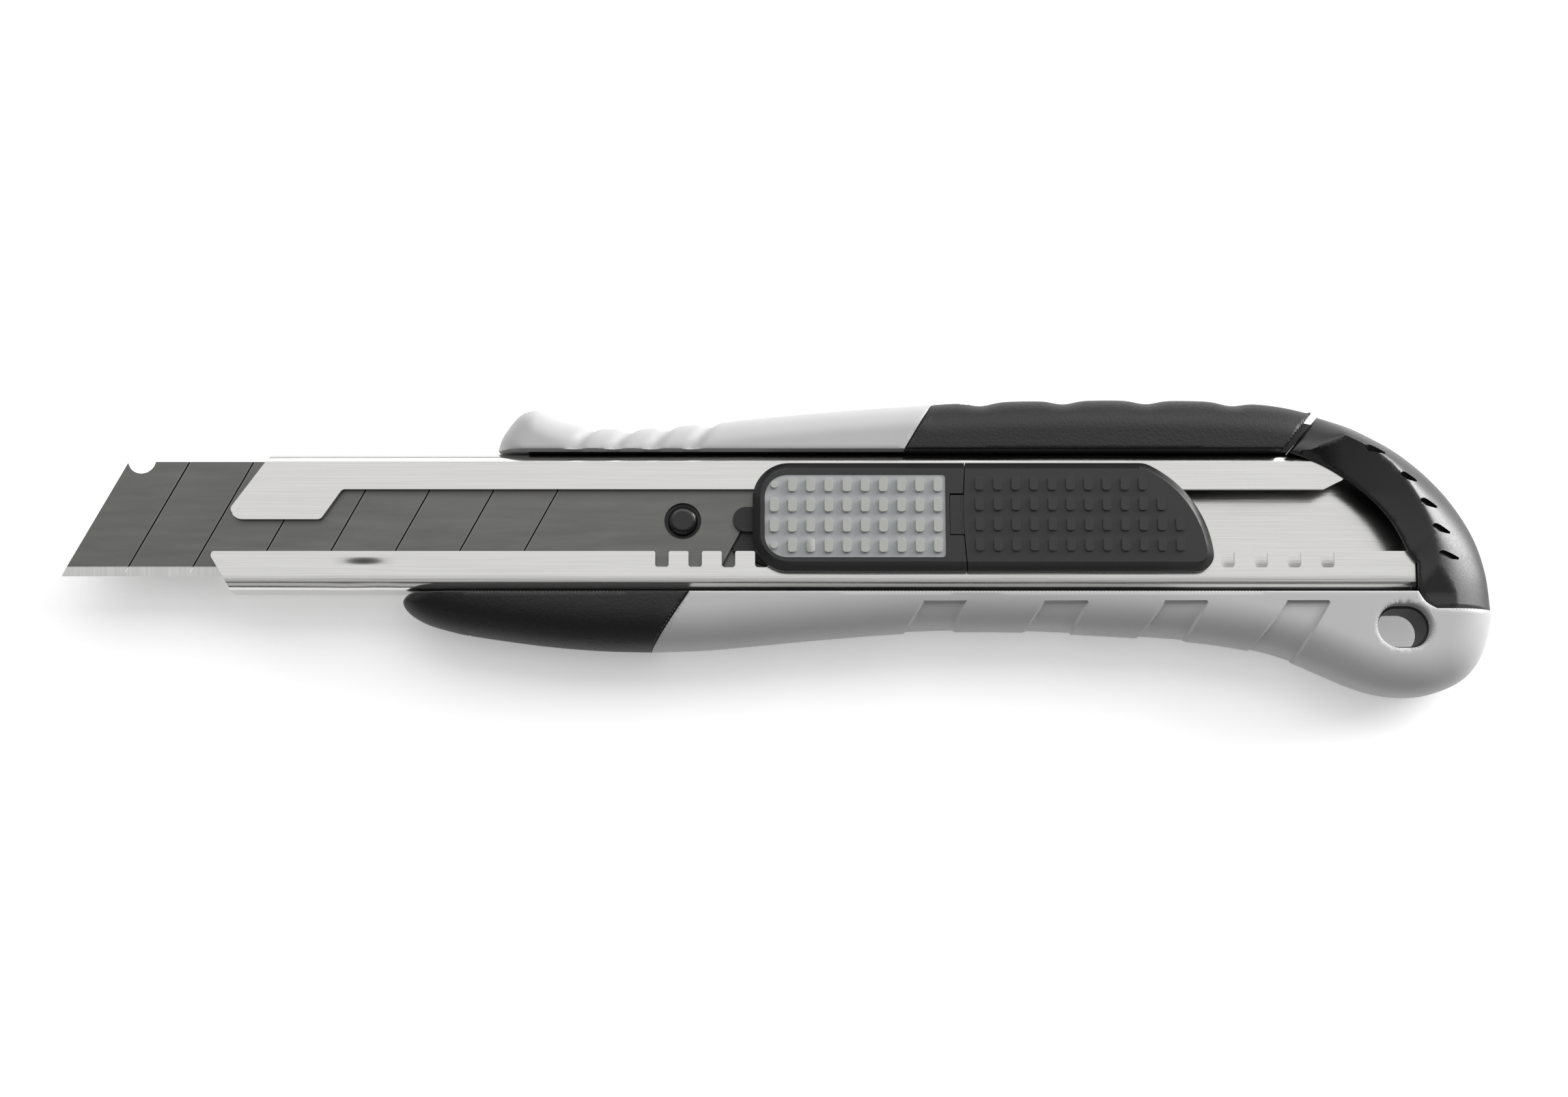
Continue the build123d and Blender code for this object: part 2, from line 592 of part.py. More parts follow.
def make_core():
    """Black inner handle: back plate behind the channel, beams and the hole's wall."""
    back = plate(
        [(-39.0, 16.8), (-53.0, -9.4), (72.0, -9.4), (WEB_TAIL_X, -9.4), (WEB_TAIL_X, 14.5),
         (78.0, 14.5), (78.0, 16.8)],
        0, CHANNEL_BACK_Z,
    )
    body = (back - beyond_tail_cut(0)) + core_beams()
    return only_solid(body - hole_cutter(0) - rivets() - back_grooves())


def back_grooves():
    """Slanted finger grooves across the back of the handle, in two groups."""
    grooves = []
    middle_y = (CHANNEL_HIGH_Y + CHANNEL_LOW_Y) / 2
    for start_x in BACK_GROOVE_STARTS_X:
        for number in range(BACK_GROOVES_IN_GROUP):
            outline = Rot(0, 0, SNAP_ANGLE) * SlotOverall(BACK_GROOVE_LENGTH, BACK_GROOVE_WIDTH)
            place = Pos(start_x + number * BACK_GROOVE_PITCH, middle_y, 0)
            grooves.append(extrude(place * outline, amount=BACK_GROOVE_DEPTH, dir=(0, 0, 1)))
    return grooves


def hole_cutter(growth):
    """Oval lanyard hole through the tail of the handle."""
    size = (HOLE_SIZE[0] + 2 * growth, HOLE_SIZE[1] + 2 * growth)
    return stadium(HOLE_CENTRE, size, -OVERRUN, FRONT_Z + OVERRUN)


def leaning_half(x_low, y_low, x_high, y_high, side):
    """Everything to one side of a slanted parting line."""
    far = 300.0 * side
    y_far = 60.0
    slope = (x_high - x_low) / (y_high - y_low)
    bottom_x = x_low + (-y_far - y_low) * slope
    top_x = x_low + (y_far - y_low) * slope
    return plate([(bottom_x, -y_far), (top_x, y_far), (far, y_far), (far, -y_far)], -OVERRUN, 20.0)


def make_grips(core):
    """Four moulded grips over the core, each an exact complement of it."""
    upper = upper_envelope() - core
    lower = lower_envelope() - core
    top_split = (19.61, 14.4, 24.3, 22.43)
    bottom_split = (-19.35, -16.23, -13.5, -7.52)
    lower_grip = (lower & leaning_half(*bottom_split, 1)) - hole_cutter(0.3)
    for number in range(RECESS_COUNT):
        lower_grip = lower_grip - grip_recess(FIRST_RECESS_X + number * RECESS_PITCH)
    return {
        "thumb_rest": only_solid(upper & leaning_half(*top_split, -1)),
        "top_grip": only_solid(upper & leaning_half(*top_split, 1)),
        "finger_guard": only_solid(lower & leaning_half(*bottom_split, -1)),
        "lower_grip": only_solid(lower_grip),
    }


def grip_recess(x):
    """Shallow slanted finger recess in the front of the lower grip, open below."""
    high_y, low_y = RECESS_HIGH_Y, -HALF_HEIGHT
    run = (high_y - low_y) * RECESS_SLOPE
    return plate(
        [(x, high_y), (x + RECESS_WIDTH, high_y), (x + RECESS_WIDTH - run, low_y), (x - run, low_y)],
        FRONT_Z - RECESS_DEPTH, FRONT_Z + OVERRUN,
    )


# ---- End cap -----------------------------------------------------------------
def make_cap():
    """Pull-off end cap: curved hood over the channel's tail, with an inner plug."""
    inner_start, inner_middle, inner_end = CAP_INNER_ARC
    outline = [
        Spline((84.4, 20.7), (92.0, 17.7), (100.3, 11.8), (107.3, 2.7), (109.5, -3.5),
               (HALF_LENGTH, -10.0), tangents=[(1, -0.25), (0.02, -1)]),
        Line((HALF_LENGTH, -10.0), (100.6, -10.0)),
        ThreePointArc((100.6, -10.0), (99.2, -9.0), (98.3, -7.2)),
        Line((98.3, -7.2), (98.3, -3.0)),
        Line((98.3, -3.0), inner_end),
        ThreePointArc(inner_end, inner_middle, inner_start),
        Line(inner_start, (84.4, 20.7)),
    ]
    body = prism(outline, 0, FRONT_Z)
    for z, radius in ((FRONT_Z, CAP_HOOD_RADIUS), (0.0, CAP_BACK_RADIUS)):
        outer = max(rim(body, z, lambda y: True), key=lambda edge: edge.length)
        body = fillet(outer, radius)
    channel_room = block((60.0, 98.3), (-7.3, 14.6), (2.4, SLIDER_Z))
    back_room = block((60.0, WEB_TAIL_X + 0.2), (-12.0, 14.6), (-OVERRUN, CHANNEL_BACK_Z))
    inside = prism(outline, FLOOR_Z + 0.15, LIP_Z - 0.15) & block(
        (90.0, 105.0), (CHANNEL_LOW_Y + 1.0, 10.5), (0, FRONT_Z)
    )
    room = channel_room + back_room - beyond_tail_cut(TAIL_CUT_GAP)
    return only_solid((body - room) + inside)


# ---- Assembly ----------------------------------------------------------------
def make_parts():
    """Every node of the knife by name."""
    core = make_core()
    parts = {
        "blade_channel": make_channel(),
        "handle_core": core,
        "end_cap": make_cap(),
        "slider_body": make_slider_body(),
        "slider_pad": make_slider_pad(),
        "slider_rear": make_slider_rear(),
        "rear_guide": make_rear_guide(),
        "blade_carrier": make_carrier(),
        "blade_pin": make_blade_pin(),
        "lock_spring": lock_spring_solid(),
        "magazine_spring": make_magazine_spring(),
        "channel_rivets": Compound(children=rivets()),
    }
    parts.update(make_blades())
    parts.update(make_grips(core))
    return parts


os.makedirs("parts", exist_ok=True)
for name, shape in make_parts().items():
    export_step(shape, f"parts/{name}.step")
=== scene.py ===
import json
import math

import bmesh
import bpy
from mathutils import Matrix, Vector
from mathutils.geometry import delaunay_2d_cdt
from mathutils.kdtree import KDTree


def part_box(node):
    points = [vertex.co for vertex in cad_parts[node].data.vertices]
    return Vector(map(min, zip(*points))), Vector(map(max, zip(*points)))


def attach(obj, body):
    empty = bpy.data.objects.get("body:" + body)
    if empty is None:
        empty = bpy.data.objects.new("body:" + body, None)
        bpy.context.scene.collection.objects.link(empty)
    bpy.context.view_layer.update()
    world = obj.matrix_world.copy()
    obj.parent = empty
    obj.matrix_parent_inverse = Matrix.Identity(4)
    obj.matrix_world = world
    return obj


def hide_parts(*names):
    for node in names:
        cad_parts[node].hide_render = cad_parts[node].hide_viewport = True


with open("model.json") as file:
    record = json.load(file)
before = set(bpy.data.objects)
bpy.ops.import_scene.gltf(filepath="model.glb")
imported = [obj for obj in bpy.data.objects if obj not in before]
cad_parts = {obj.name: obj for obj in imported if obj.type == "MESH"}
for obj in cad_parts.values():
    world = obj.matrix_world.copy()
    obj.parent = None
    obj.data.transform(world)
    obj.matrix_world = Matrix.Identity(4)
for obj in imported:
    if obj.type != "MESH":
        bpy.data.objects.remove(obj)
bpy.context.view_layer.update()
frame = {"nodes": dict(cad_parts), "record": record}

# Lengths in this script are in millimetres, in the frame's own axes: +X from the
# blade tip to the end cap, +Y from the cutting edge to the spine, +Z up.
MM = 0.001
NODES = frame["nodes"]


def node_box(name):
    """Lowest and highest corner of a CAD node, in millimetres."""
    return [[value / MM for value in corner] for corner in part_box(name)]


# ---- Places read from the frame --------------------------------------------------
CHANNEL_LOW, CHANNEL_HIGH = node_box("blade_channel")
GRIP_LOW, GRIP_HIGH = node_box("lower_grip")
FRONT_Z = node_box("end_cap")[1][2]  # front face of the handle
BACK_Z = GRIP_LOW[2]  # back face of the grips
MIDDLE_Z = (FRONT_Z + BACK_Z) / 2  # the widest level of a grip
SEAM_GAP = 0.21
UPPER_SEAM_Y = CHANNEL_HIGH[1] + SEAM_GAP
LOWER_SEAM_Y = GRIP_HIGH[1]

# ---- Camera: looks down on the slider side, leaning back a little ----------------
VIEW_LEAN = math.radians(10.3)
VIEW_DISTANCE = 390.0
AIM = Vector((1.07, -0.61, 8.6))
LENS = 58.2
SENSOR = 36.0


def add_camera():
    """The camera stands over the knife, on the side of the cutting edge."""
    data = bpy.data.cameras.new("camera")
    data.lens = LENS
    data.sensor_width = SENSOR
    data.clip_start = 0.01
    camera = bpy.data.objects.new("camera", data)
    back = Vector((0.0, -math.sin(VIEW_LEAN), math.cos(VIEW_LEAN)))
    camera.location = (AIM + back * VIEW_DISTANCE) * MM
    camera.rotation_euler = (VIEW_LEAN, 0.0, 0.0)
    bpy.context.scene.collection.objects.link(camera)
    bpy.context.scene.camera = camera


# ---- Light and floor -------------------------------------------------------------
def add_area_light(name, place, size, power):
    """Rectangular soft light that faces the origin; place and size in metres."""
    data = bpy.data.lights.new(name, "AREA")
    data.shape = "RECTANGLE"
    data.size, data.size_y = size
    data.energy = power
    light = bpy.data.objects.new(name, data)
    light.location = place
    light.rotation_euler = (-Vector(place)).to_track_quat("-Z", "Y").to_euler()
    bpy.context.scene.collection.objects.link(light)


def add_lights():
    """Soft studio light: a broad bank behind the spine, a weak front fill, a side strip."""
    add_area_light("key", (0.05, 0.55, 0.55), (1.3, 0.5), 3.5)
    add_area_light("overhead", (0.0, 0.08, 0.9), (1.3, 0.5), 0.85)
    add_area_light("fill", (-0.2, -0.7, 0.35), (0.9, 0.4), 0.6)
    add_area_light("side", (0.84, 0.46, 0.2), (0.6, 0.4), 15.0)
    world = bpy.data.worlds.new("studio")
    world.use_nodes = True
    tree = world.node_tree
    direction = tree.nodes.new("ShaderNodeSeparateXYZ")
    tree.links.new(tree.nodes.new("ShaderNodeTexCoord").outputs["Generated"], direction.inputs["Vector"])
    ramp = tree.nodes.new("ShaderNodeMapRange")
    limits = (("From Min", -0.55), ("From Max", 0.4), ("To Min", 0.03), ("To Max", 0.68))
    for key, limit in limits:
        ramp.inputs[key].default_value = limit
    tree.links.new(direction.outputs["Y"], ramp.inputs["Value"])
    tree.links.new(ramp.outputs["Result"], tree.nodes["Background"].inputs["Strength"])
    tree.nodes["Background"].inputs["Color"].default_value = (1.0, 1.0, 1.0, 1.0)
    bpy.context.scene.world = world
    bpy.context.scene.view_settings.view_transform = "Standard"


FLOOR_HALF = 3.0  # metres
FLOOR_GLOW = 0.3  # lifts the shade under the knife, as a lit table does


def add_floor():
    """Large pale floor under the knife."""
    half = FLOOR_HALF
    corners = [(-half, -half, 0), (half, -half, 0), (half, half, 0), (-half, half, 0)]
    mesh = bpy.data.meshes.new("floor")
    mesh.from_pydata(corners, [], [(0, 1, 2, 3)])
    floor = bpy.data.objects.new("floor", mesh)
    bpy.context.scene.collection.objects.link(floor)
    paint = Paint("floor_white", (0.95, 0.95, 0.95), roughness=0.9)
    paint.shader.inputs["Emission Color"].default_value = (1.0, 1.0, 1.0, 1.0)
    paint.shader.inputs["Emission Strength"].default_value = FLOOR_GLOW
    mesh.materials.append(paint.material)


# ---- Materials -------------------------------------------------------------------
class Paint:
    """One Principled material, with helpers for procedural detail in object space."""

    def __init__(self, name, colour, roughness, metallic=0.0, specular=0.5):
        self.material = bpy.data.materials.new(name)
        self.material.use_nodes = True
        self.tree = self.material.node_tree
        self.shader = self.tree.nodes["Principled BSDF"]
        self.colour = colour
        self.shader.inputs["Base Color"].default_value = (*colour, 1.0)
        self.shader.inputs["Roughness"].default_value = roughness
        self.shader.inputs["Metallic"].default_value = metallic
        self.shader.inputs["Specular IOR Level"].default_value = specular
        self.place = self.tree.nodes.new("ShaderNodeTexCoord").outputs["Object"]
        self.normal = None

    def link(self, source, target):
        self.tree.links.new(source, target)

    def noise(self, scale, detail=3.0, roughness=0.55):
        """Noise with so many features per metre along X, Y and Z."""
        mapping = self.tree.nodes.new("ShaderNodeMapping")
        mapping.inputs["Scale"].default_value = scale
        self.link(self.place, mapping.inputs["Vector"])
        texture = self.tree.nodes.new("ShaderNodeTexNoise")
        texture.inputs["Scale"].default_value = 1.0
        texture.inputs["Detail"].default_value = detail
        texture.inputs["Roughness"].default_value = roughness
        self.link(mapping.outputs["Vector"], texture.inputs["Vector"])
        return texture.outputs["Fac"]

    def remap(self, value, low, high, to_low=0.0, to_high=1.0, smooth=False):
        """Clamped change of range, linear or with soft ends."""
        made = self.tree.nodes.new("ShaderNodeMapRange")
        made.interpolation_type = "SMOOTHSTEP" if smooth else "LINEAR"
        limits = (("From Min", low), ("From Max", high), ("To Min", to_low), ("To Max", to_high))
        for key, limit in limits:
            made.inputs[key].default_value = limit
        self.link(value, made.inputs["Value"])
        return made.outputs["Result"]

    def maths(self, operation, first, second=0.0):
        """One arithmetic node; each operand is a socket or a number."""
        made = self.tree.nodes.new("ShaderNodeMath")
        made.operation = operation
        for slot, operand in enumerate((first, second)):
            if isinstance(operand, (int, float)):
                made.inputs[slot].default_value = operand
            else:
                self.link(operand, made.inputs[slot])
        return made.outputs["Value"]

    def axes(self):
        """The three object coordinates, in millimetres."""
        made = self.tree.nodes.new("ShaderNodeSeparateXYZ")
        self.link(self.place, made.inputs["Vector"])
        return [self.maths("DIVIDE", made.outputs[letter], MM) for letter in "XYZ"]

    def blend(self, factor, low, high):
        """Colour between two colours; each is a socket or three numbers."""
        mix = self.tree.nodes.new("ShaderNodeMix")
        mix.data_type = "RGBA"
        self.link(factor, mix.inputs["Factor"])
        for slot, value in ((6, low), (7, high)):
            if isinstance(value, tuple):
                mix.inputs[slot].default_value = (*value, 1.0)
            else:
                self.link(value, mix.inputs[slot])
        self.link(mix.outputs[2], self.shader.inputs["Base Color"])
        return mix.outputs[2]

    def vary_colour(self, factor, dark, light):
        """Base colour runs from dark to light with factor; both multiply the colour."""
        low = tuple(channel * dark for channel in self.colour)
        high = tuple(channel * light for channel in self.colour)
        return self.blend(self.remap(factor, 0.3, 0.7), low, high)

    def vary_roughness(self, factor, low, high):
        self.link(self.remap(factor, 0.3, 0.7, low, high), self.shader.inputs["Roughness"])

    def add_bump(self, height, depth):
        """Bump of the given depth in millimetres, stacked on the earlier ones."""
        bump = self.tree.nodes.new("ShaderNodeBump")
        bump.inputs["Distance"].default_value = depth * MM
        self.link(height, bump.inputs["Height"])
        if self.normal is not None:
            self.link(self.normal, bump.inputs["Normal"])
        self.normal = bump.outputs["Normal"]
        self.link(self.normal, self.shader.inputs["Normal"])


def satin_steel(name, tone, roughness):
    """Steel sheet, brushed along its length."""
    paint = Paint(name, tone, roughness, metallic=1.0)
    streaks = paint.noise((60, 5200, 5200), detail=4.0)
    smudge = paint.noise((45, 160, 160), detail=2.0)
    paint.vary_colour(streaks, 0.94, 1.04)
    paint.vary_roughness(smudge, roughness - 0.04, roughness + 0.06)
    paint.add_bump(streaks, 0.008)
    return paint


DIMPLE_X = -63.5
DIMPLE_REACH = 5.5
DIMPLE_TOP_Y = -1.8
DIMPLE_WALL = 1.5
DIMPLE_DEPTH = 0.35
BEND_START_Y = -4.7
BEND_END_Y = CHANNEL_LOW[1] + 0.4
BEND_DEPTH = 0.22


def channel_steel():
    """Satin steel with a shallow dimple pressed in the lower lip, and a soft lower bend."""
    paint = satin_steel("channel_steel", (0.70, 0.695, 0.685), 0.2)
    x, y, _ = paint.axes()
    off_dimple = paint.maths("ABSOLUTE", paint.maths("SUBTRACT", x, DIMPLE_X))
    pressed = paint.remap(off_dimple, 0.0, DIMPLE_REACH, 1.0, 0.0, smooth=True)
    below = paint.remap(y, DIMPLE_TOP_Y - DIMPLE_WALL, DIMPLE_TOP_Y, 1.0, 0.0, smooth=True)
    paint.add_bump(paint.maths("MULTIPLY", pressed, below), -DIMPLE_DEPTH)
    rolled = paint.remap(y, BEND_END_Y, BEND_START_Y, 0.0, 1.0, smooth=True)
    paint.add_bump(rolled, BEND_DEPTH)
    return paint.material


SNAP_SLOPE = 1 / math.tan(math.radians(62.0))  # score lines, across over up
FIRST_SEGMENT = 9.5
SEGMENT_PITCH = 9.93
SCORE_COUNT = 7
GRIND_WIDTH = 1.45
GRIND_BLUR = 0.08
SCORE_HALF = 0.13  # half width of a snap line's painted shade
SCORE_EDGE = 0.34  # the painted highlight beside it ends here


def blade_steel(name, low_corner):
    """Blackened blade: a bright ground edge, and score lines drawn as painted shade with a painted
    highlight along each side.
    """
    paint = Paint(name, (0.15, 0.15, 0.146), 0.34, metallic=0.95)
    tip_x, edge_y = low_corner[0], low_corner[1]
    haze = paint.noise((90, 700, 700), detail=4.0)
    grind = paint.noise((4500, 120, 120), detail=3.0)
    x, y, _ = paint.axes()
    lean = paint.maths("MULTIPLY", paint.maths("SUBTRACT", y, edge_y), SNAP_SLOPE)
    along = paint.maths("SUBTRACT", paint.maths("SUBTRACT", x, lean), tip_x + FIRST_SEGMENT)
    pitches = paint.maths("DIVIDE", along, SEGMENT_PITCH)
    line = paint.maths("MINIMUM", paint.maths("MAXIMUM", paint.maths("ROUND", pitches), 0.0),
                       SCORE_COUNT - 1.0)
    off_line = paint.maths("ABSOLUTE", paint.maths("SUBTRACT", pitches, line))
    distance = paint.maths("MULTIPLY", off_line, SEGMENT_PITCH)
    body = paint.vary_colour(haze, 0.9, 1.1)
    # Painted highlight: a lighter band beside each score line stands for the lit edge of its groove.
    groove_highlight = paint.remap(distance, SCORE_HALF, SCORE_EDGE, 1.0, 0.0)
    body = paint.blend(groove_highlight, body, (0.22, 0.22, 0.213))
    # Painted shade: a near-black line down the middle of each score groove.
    groove_shade = paint.remap(distance, SCORE_HALF * 0.8, SCORE_HALF * 1.2, 1.0, 0.0)
    body = paint.blend(groove_shade, body, (0.006, 0.006, 0.006))
    bright = paint.blend(paint.remap(grind, 0.3, 0.7), (0.80, 0.80, 0.78), (0.96, 0.96, 0.94))
    grind_y = edge_y + GRIND_WIDTH
    ground = paint.remap(y, grind_y - GRIND_BLUR, grind_y + GRIND_BLUR, 1.0, 0.0)
    paint.blend(ground, body, bright)
    paint.vary_roughness(haze, 0.33, 0.42)
    paint.add_bump(haze, 0.006)
    return paint.material


def plastic(name, colour, roughness, grain_size, grain_depth,
            mottling=0.06, specular=0.5, studs=None):
    """Moulded plastic with spark-eroded grain and faint unevenness of tone."""
    paint = Paint(name, colour, roughness, specular=specular)
    grain = paint.noise((1 / (grain_size * MM),) * 3, detail=4.0, roughness=0.6)
    cloud = paint.noise((70, 70, 70), detail=2.0)
    body = paint.vary_colour(cloud, 1.0 - mottling, 1.0 + mottling)
    if studs is not None:
        # The stud colours are painted highlights on the studs' rims and crowns.
        paint_stud_highlights(paint, body, *studs)
    paint.vary_roughness(grain, roughness - 0.05, roughness + 0.06)
    paint.add_bump(grain, grain_depth)
    return paint.material


def paint_stud_highlights(paint, body, foot_z, edge, crown):
    """Studs with painted highlights: one colour on their rounded edge, one on their crown."""
    z = paint.axes()[2]
    # Painted highlight on the studs' rounded rims, then a painted highlight on their crowns.
    on_stud = paint.remap(z, foot_z + 0.02, foot_z + 0.06)
    highlit_rims = paint.blend(on_stud, body, edge)
    on_crown = paint.remap(z, foot_z + STUD_HEIGHT - 0.06, foot_z + STUD_HEIGHT - 0.01)
    paint.blend(on_crown, highlit_rims, crown)


STUD_HEIGHT = 0.45
PAD_TOP_Z = node_box("slider_pad")[1][2] - STUD_HEIGHT
SLIDER_TOP_Z = node_box("slider_rear")[1][2] - STUD_HEIGHT
MATERIALS = {
    "channel_steel": channel_steel(),
    "blade_steel": blade_steel("blade_steel", node_box("blade")[0]),
    "spare_steel": blade_steel("spare_steel", node_box("spare_blade_1")[0]),
    "spring_steel": satin_steel("spring_steel", (0.42, 0.42, 0.43), 0.3).material,
    "core_black": plastic("core_black", (0.006, 0.006, 0.006), 0.5, 0.3, 0.01),
    "grip_grey": plastic("grip_grey", (0.4, 0.4, 0.4), 0.45, 0.25, 0.006, 0.02),
    "grip_black": plastic("grip_black", (0.005, 0.005, 0.005), 0.44, 0.42, 0.06, specular=0.38),
    "cap_black": plastic("cap_black", (0.007, 0.007, 0.0072), 0.34, 0.3, 0.008),
    # Stud colours: painted highlight on the rims, slightly lighter painted crowns.
    "slider_black": plastic("slider_black", (0.009, 0.009, 0.0093), 0.38, 0.2, 0.008,
                            studs=(SLIDER_TOP_Z, (0.12, 0.12, 0.12), (0.012, 0.012, 0.012))),
    # Stud colours: painted highlight on the rims and a lighter painted crown.
    "pad_grey": plastic("pad_grey", (0.32, 0.325, 0.335), 0.5, 0.25, 0.006, 0.03,
                        studs=(PAD_TOP_Z, (0.48, 0.48, 0.46), (0.36, 0.36, 0.34))),
    "pin_black": plastic("pin_black", (0.006, 0.006, 0.006), 0.26, 0.3, 0.004),
}


# ---- Outlines and heights --------------------------------------------------------
FADE_GAIN = 1.4


def clamp(value):
    """The value, kept between 0 and 1."""
    return min(1.0, max(0.0, value))


def fade_to_back(z, shortfall=0.0):
    """1 on the front half of a grip, down to 0 at its back face."""
    return clamp(FADE_GAIN * (z - BACK_Z) / (MIDDLE_Z - BACK_Z) - shortfall)


def rounded_rise(distance, width, power):
    """Height of a rounded shoulder from 0 at its foot to 1 at width and beyond."""
    return (1.0 - (1.0 - clamp(distance / width)) ** power) ** (1.0 / power)


def curve_through(points, step):
    """Points about step apart on a smooth curve through the given ones."""
    padded = [points[0], *points, points[-1]]
    traced = [points[0]]
    for before, start, end, after in zip(padded, padded[1:], padded[2:], padded[3:]):
        count = max(1, round(math.dist(start, end) / step))
        for index in range(1, count + 1):
            t = index / count
            traced.append(tuple(
                0.5 * (2 * b + (c - a) * t + (2 * a - 5 * b + 4 * c - d) * t**2
                       + (3 * b - 3 * c + d - a) * t**3)
                for a, b, c, d in zip(before, start, end, after)
            ))
    return traced


def straight_through(points, step):
    """Points about step apart on the straight runs between the given ones."""
    traced = [points[0]]
    for start, end in zip(points, points[1:]):
        count = max(1, round(math.dist(start, end) / step))
        for index in range(1, count + 1):
            share = index / count
            traced.append(tuple(a + (b - a) * share for a, b in zip(start, end)))
    return traced


def oval(centre, size, step):
    """Closed loop of points round an oval with straight long sides, longer along X."""
    radius = size[1] / 2
    half = size[0] / 2 - radius
    count = round(math.pi * radius / step)
    loop = []
    for side in (1, -1):
        for index in range(count + 1):
            angle = math.pi * (index / count - 0.5)
            x = centre[0] + side * (half + radius * math.cos(angle))
            loop.append((x, centre[1] + side * radius * math.sin(angle)))
    return loop + loop[:1]


class Route:
    """A polyline that tells how far away a point is, and on which side."""

    def __init__(self, points):
        self.points = points
        self.tree = KDTree(len(points))
        for index, point in enumerate(points):
            self.tree.insert((*point, 0.0), index)
        self.tree.balance()

    def nearest(self, x, y):
        """Distance, and the sign of the side: 1 to the left of the route."""
        _, middle, _ = self.tree.find((x, y, 0.0))
        best = (math.inf, 1)
        for start in (middle - 1, middle):
            if 0 <= start < len(self.points) - 1:
                best = min(best, self.from_segment(start, x, y))
        return best

    def from_segment(self, start, x, y):
        """Distance and side of a point from one straight run of the route."""
        (x0, y0), (x1, y1) = self.points[start:start + 2]
        run_x, run_y = x1 - x0, y1 - y0
        share = clamp(((x - x0) * run_x + (y - y0) * run_y) / (run_x**2 + run_y**2))
        distance = math.hypot(x - x0 - share * run_x, y - y0 - share * run_y)
        cross = run_x * (y - y0) - run_y * (x - x0)
        return distance, 1 if cross >= 0 else -1

    def distance(self, x, y):
        """Distance to the nearest point of the route."""
        return self.nearest(x, y)[0]


def grid_inside(loop, step):
    """Staggered grid of points inside a closed loop, found row by row."""
    low_y = min(y for _, y in loop)
    high_y = max(y for _, y in loop)
    points = []
    for row in range(int((high_y - low_y) / step)):
        y = low_y + (row + 0.5) * step
        crossings = []
        for (x0, y0), (x1, y1) in zip(loop, loop[1:] + loop[:1]):
            if (y0 > y) != (y1 > y):
                crossings.append(x0 + (y - y0) * (x1 - x0) / (y1 - y0))
        crossings.sort()
        for enter, leave in zip(crossings[::2], crossings[1::2]):
            column = math.ceil(enter / step)
            while (column + 0.5 * (row % 2)) * step < leave:
                points.append(((column + 0.5 * (row % 2)) * step, y))
                column += 1
    return points


def inside(loop, x, y):
    """Whether a point lies inside a closed loop."""
    hits = 0
    for (x0, y0), (x1, y1) in zip(loop, loop[1:] + loop[:1]):
        if (y0 > y) != (y1 > y) and x < x0 + (y - y0) * (x1 - x0) / (y1 - y0):
            hits += 1
    return hits % 2 == 1


